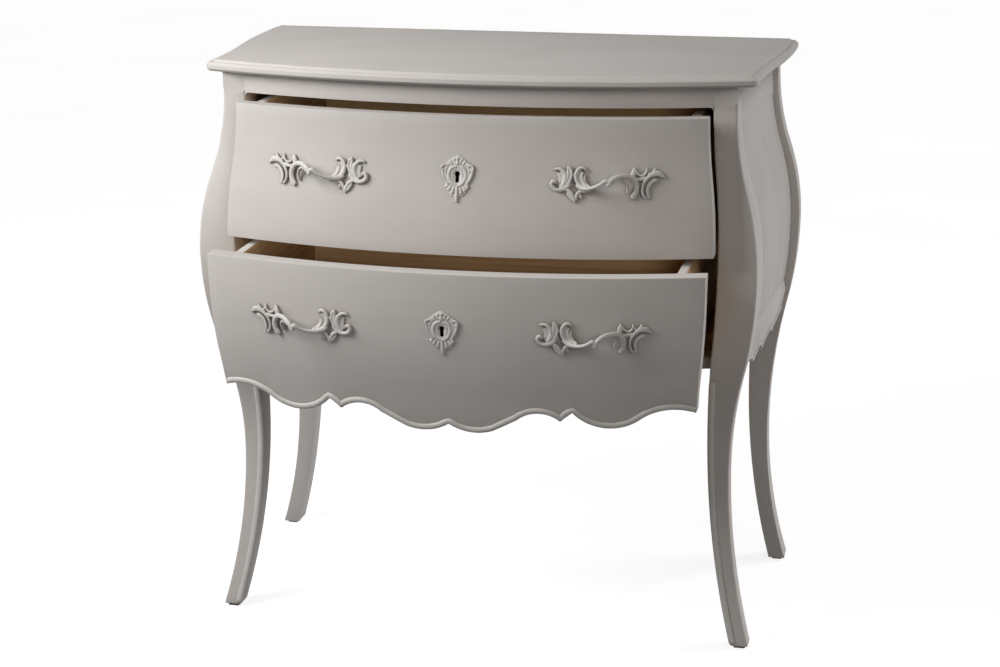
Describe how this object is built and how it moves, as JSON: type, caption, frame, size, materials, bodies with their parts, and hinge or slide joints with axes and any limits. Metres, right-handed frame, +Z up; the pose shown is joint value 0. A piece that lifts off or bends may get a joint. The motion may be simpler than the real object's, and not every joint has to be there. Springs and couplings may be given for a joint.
{
  "type": "bombe chest of drawers",
  "caption": "Painted bombe chest with a bowed, swelled front, sliding drawers, leaf-cast fixed handles and sabre legs.",
  "frame": {"origin": "on the floor, on the centre line, midway between the front of the top and its rear edge", "axes": "+Z up, the drawers open towards -Y, +X to the right of someone facing the front"},
  "size_m": [0.847, 0.5831, 0.83],
  "materials": {
    "painted_wood": "brushed greige paint, satin",
    "raw_wood": "unpainted, matt",
    "painted_casting": "painted like the chest, satin",
    "screw_steel": "zinc plated",
    "glide_plastic": "matt black"
  },
  "bodies": {
    "carcass": {"back_bottom_rail": "raw_wood", "back_middle_rail": "raw_wood", "back_panel": "raw_wood", "back_top_rail": "raw_wood", "drawer_guides": "raw_wood", "drawer_stops": "raw_wood", "foot_glides": "glide_plastic", "front_bottom_rail": "painted_wood", "front_left_post": "painted_wood", "front_right_post": "painted_wood", "front_top_rail": "painted_wood", "left_kicker": "raw_wood", "left_side_apron": "painted_wood", "left_side_panel": "painted_wood", "left_side_top_rail": "painted_wood", "lower_left_runner": "raw_wood", "lower_right_runner": "raw_wood", "middle_rail": "raw_wood", "rear_left_post": "painted_wood", "rear_right_post": "painted_wood", "right_kicker": "raw_wood", "right_side_apron": "painted_wood", "right_side_panel": "painted_wood", "right_side_top_rail": "painted_wood", "top_blocks": "raw_wood", "top_panel": "painted_wood", "upper_left_runner": "raw_wood", "upper_right_runner": "raw_wood"},
    "upper_drawer": {"upper_back": "raw_wood", "upper_bottom": "raw_wood", "upper_escutcheon": "painted_casting", "upper_front": "painted_wood", "upper_handle_screws": "screw_steel", "upper_left_handle": "painted_casting", "upper_left_side": "raw_wood", "upper_right_handle": "painted_casting", "upper_right_side": "raw_wood"},
    "lower_drawer": {"lower_back": "raw_wood", "lower_bottom": "raw_wood", "lower_escutcheon": "painted_casting", "lower_front": "painted_wood", "lower_handle_screws": "screw_steel", "lower_left_handle": "painted_casting", "lower_left_side": "raw_wood", "lower_right_handle": "painted_casting", "lower_right_side": "raw_wood"}
  },
  "joints": [
    {"name": "upper_drawer_slide", "type": "slide", "parent": "carcass", "child": "upper_drawer", "axis": [0, -1, 0], "range_m": [-0.041, 0.225]},
    {"name": "lower_drawer_slide", "type": "slide", "parent": "carcass", "child": "lower_drawer", "axis": [0, -1, 0], "range_m": [-0.121, 0.145]}
  ]
}
